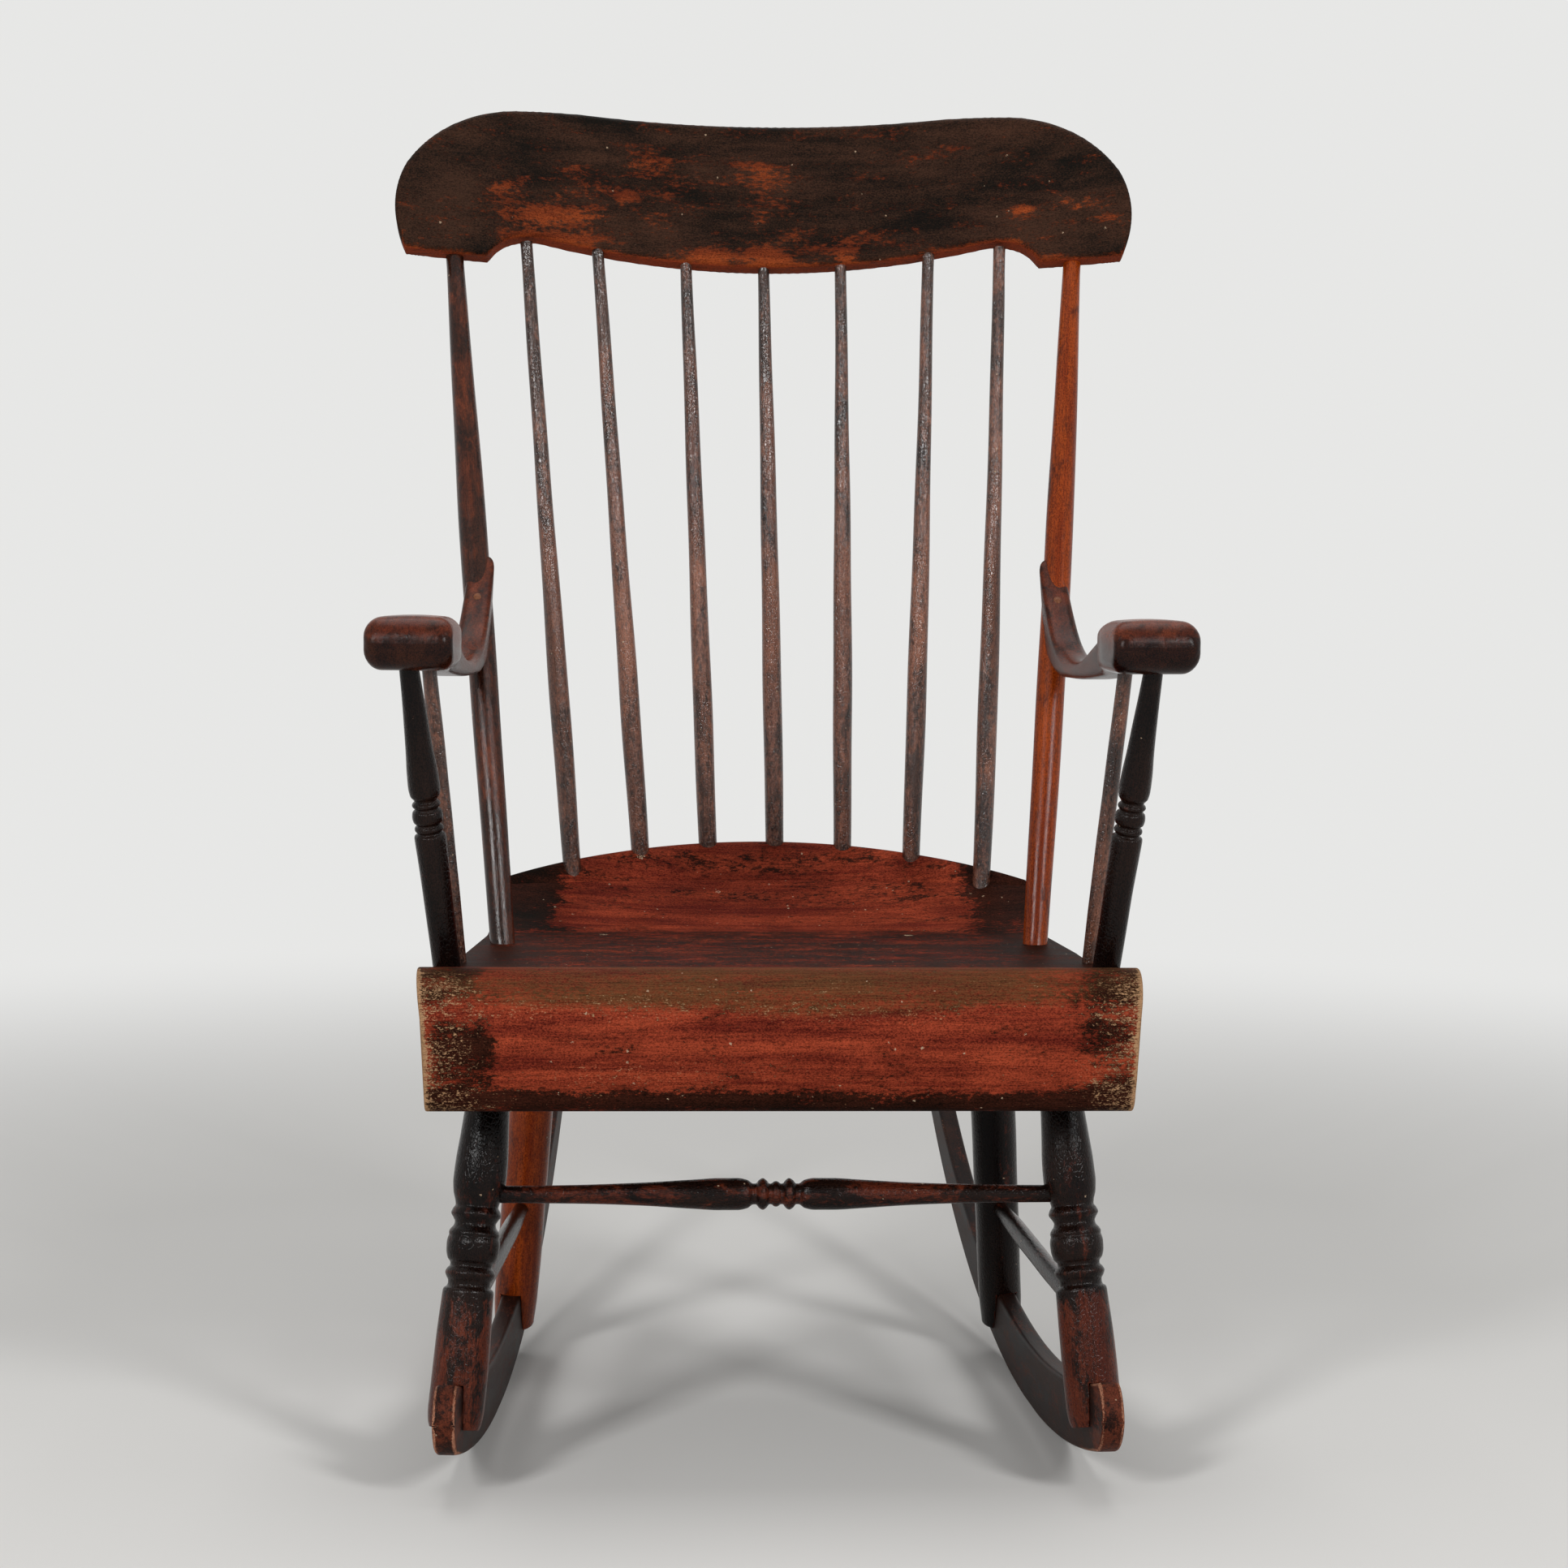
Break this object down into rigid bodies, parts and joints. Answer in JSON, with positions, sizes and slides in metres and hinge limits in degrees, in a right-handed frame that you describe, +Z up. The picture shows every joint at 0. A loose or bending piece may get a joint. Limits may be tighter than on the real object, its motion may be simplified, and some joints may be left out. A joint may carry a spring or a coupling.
{
  "type": "windsor rocking chair",
  "caption": "Windsor rocking chair: a rolled plank seat with turned legs on long curved rockers, scrolled arms, and bent spindles under a wide crest rail.",
  "frame": {"origin": "on the floor, midway between the rockers and midway between their noses and tails", "axes": "+Z up, -Y towards the front of the seat, +X towards the sitter's left"},
  "size_m": [0.5964, 0.8058, 1.0208],
  "materials": {
    "seat_paint": "glossy worn paint with wood showing at the edges",
    "crest_paint": "glossy dark grained paint, worn to red",
    "turned_paint": "glossy dark paint, worn on the rings",
    "spindle_paint": "glossy dark paint, rubbed to red-brown",
    "arm_paint": "high-gloss dark red-brown paint",
    "rocker_paint": "satin dark paint with pale worn edges",
    "varnished_wood": "glossy varnish over streaked wood",
    "peg_wood": "satin dark end grain"
  },
  "bodies": {
    "root": {"arm_left": "arm_paint", "arm_pegs": "peg_wood", "arm_post_left": "turned_paint", "arm_post_right": "turned_paint", "arm_right": "arm_paint", "arm_spindle_left": "spindle_paint", "arm_spindle_right": "spindle_paint", "back_post_left": "varnished_wood", "back_post_right": "spindle_paint", "back_spindle_1": "spindle_paint", "back_spindle_2": "spindle_paint", "back_spindle_3": "spindle_paint", "back_spindle_4": "spindle_paint", "back_spindle_5": "spindle_paint", "back_spindle_6": "spindle_paint", "back_spindle_7": "spindle_paint", "crest_rail": "crest_paint", "front_leg_left": "turned_paint", "front_leg_right": "turned_paint", "front_stretcher": "turned_paint", "rear_leg_left": "turned_paint", "rear_leg_right": "varnished_wood", "rear_stretcher": "turned_paint", "rocker_left": "rocker_paint", "rocker_right": "rocker_paint", "seat_front_roll": "seat_paint", "seat_plank": "seat_paint", "seat_rear_roll": "seat_paint", "side_stretcher_left": "turned_paint", "side_stretcher_right": "turned_paint"}
  },
  "joints": []
}
